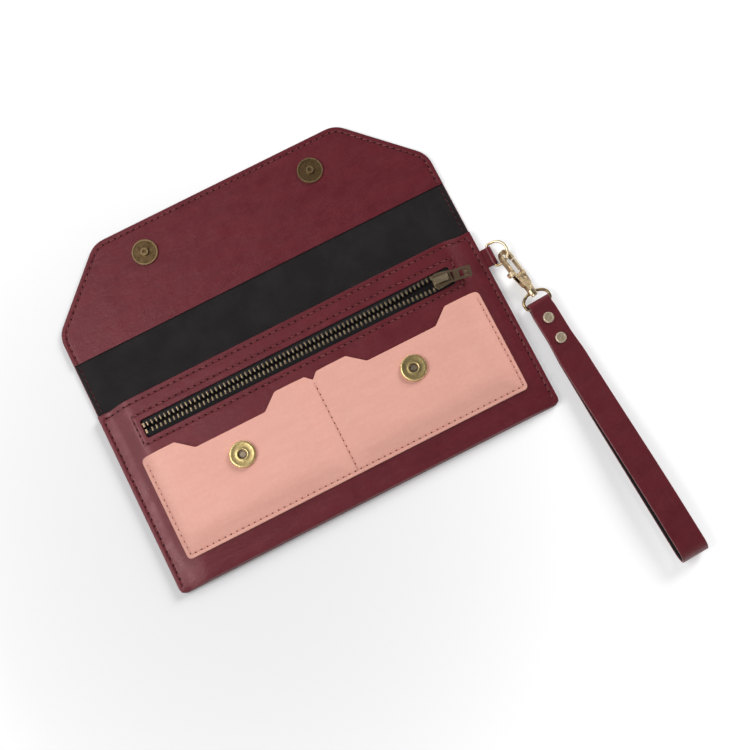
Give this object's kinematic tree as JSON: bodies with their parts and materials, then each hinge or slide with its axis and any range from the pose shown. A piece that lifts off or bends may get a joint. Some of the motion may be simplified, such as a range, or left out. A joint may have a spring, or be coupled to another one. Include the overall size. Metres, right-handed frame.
{
  "type": "clasp wallet with wrist strap",
  "caption": "Flap wallet lying open, with card pockets, zip coin pocket, bill compartment, magnetic snaps and a wrist strap on a swivel hook.",
  "frame": {"origin": "centre of the back panel's underside, on the surface the open wallet lies on", "axes": "+X along the width towards the wrist strap, +Y from the bottom fold towards the open flap, +Z out of the front"},
  "size_m": [0.2511, 0.2912, 0.0143],
  "materials": {
    "maroon_leather": "smooth, satin sheen",
    "pink_leather": "smooth, satin",
    "black_cloth": "matt",
    "zip_tape": "woven",
    "antique_brass": "antique, worn",
    "worn_brass": "worn, brushed in rings",
    "pale_brass": "polished, light antique",
    "steel": "plain",
    "ferrite": "dull grey magnet"
  },
  "bodies": {
    "wallet_body": {"outer_shell": "maroon_leather", "back_lining": "black_cloth", "bill_divider": "black_cloth", "coin_pocket": "black_cloth", "card_panel": "pink_leather", "snap_cap_left": "antique_brass", "snap_post_left": "steel", "snap_magnet_left": "ferrite", "snap_cap_right": "antique_brass", "snap_post_right": "steel", "snap_magnet_right": "ferrite", "zip_tape_upper": "zip_tape", "zip_teeth_upper": "antique_brass", "zip_top_stop_upper": "antique_brass", "zip_tape_lower": "zip_tape", "zip_teeth_lower": "antique_brass", "zip_top_stop_lower": "antique_brass", "zip_bottom_stop": "antique_brass", "ring_tab": "maroon_leather"},
    "flap": {"flap_outer": "maroon_leather", "flap_facing": "maroon_leather", "flap_lining": "black_cloth", "snap_stud_left": "worn_brass", "snap_stud_right": "worn_brass"},
    "slider": {"zip_slider": "antique_brass"},
    "pull": {"zip_pull": "antique_brass"},
    "ring": {"d_ring": "pale_brass"},
    "hook": {"hook_body": "pale_brass", "gate_pin": "steel"},
    "lever": {"gate_lever": "pale_brass"},
    "eye": {"swivel_eye": "pale_brass"},
    "strap": {"strap_outer": "maroon_leather", "strap_lining": "black_cloth", "rivet_first": "pale_brass", "rivet_second": "pale_brass"}
  },
  "joints": [
    {"name": "flap_hinge", "type": "hinge", "parent": "wallet_body", "child": "flap", "pos_m": [0, 0.0565, 0.00865], "axis": [1, 0, 0], "range_deg": [0, 180]},
    {"name": "zip_slide", "type": "slide", "parent": "wallet_body", "child": "slider", "axis": [-1, 0, 0], "range_m": [0, 0.166]},
    {"name": "pull_hinge", "type": "hinge", "parent": "slider", "child": "pull", "pos_m": [0.0815, 0.03045, 0.0128], "axis": [-0.1564, -0.9877, 0], "range_deg": [0, 180]},
    {"name": "ring_swing", "type": "hinge", "parent": "wallet_body", "child": "ring", "pos_m": [0.1144, 0.0315, 0.0018], "axis": [0, 1, 0], "range_deg": [-60, 20]},
    {"name": "hook_swing", "type": "hinge", "parent": "ring", "child": "hook", "pos_m": [0.12068, 0.02638, 0.00409], "axis": [-0.7698, -0.5736, -0.2802], "range_deg": [0, 60]},
    {"name": "gate_hinge", "type": "hinge", "parent": "hook", "child": "lever", "pos_m": [0.12435, 0.014, 0.00267], "axis": [0.6349, 0.1006, 0.766], "range_deg": [0, 20], "stiffness_Nm_per_rad": 0.004, "springref_deg": -5.73},
    {"name": "swivel_spin", "type": "hinge", "parent": "hook", "child": "eye", "pos_m": [0.12403, 0.00524, 0.00409], "axis": [-0.1564, 0.9877, 0], "continuous": true},
    {"name": "strap_swing", "type": "hinge", "parent": "eye", "child": "strap", "pos_m": [0.12456, -0.00374, 0.00409], "axis": [-0.9982, -0.0593, 0], "range_deg": [0, 110]}
  ]
}
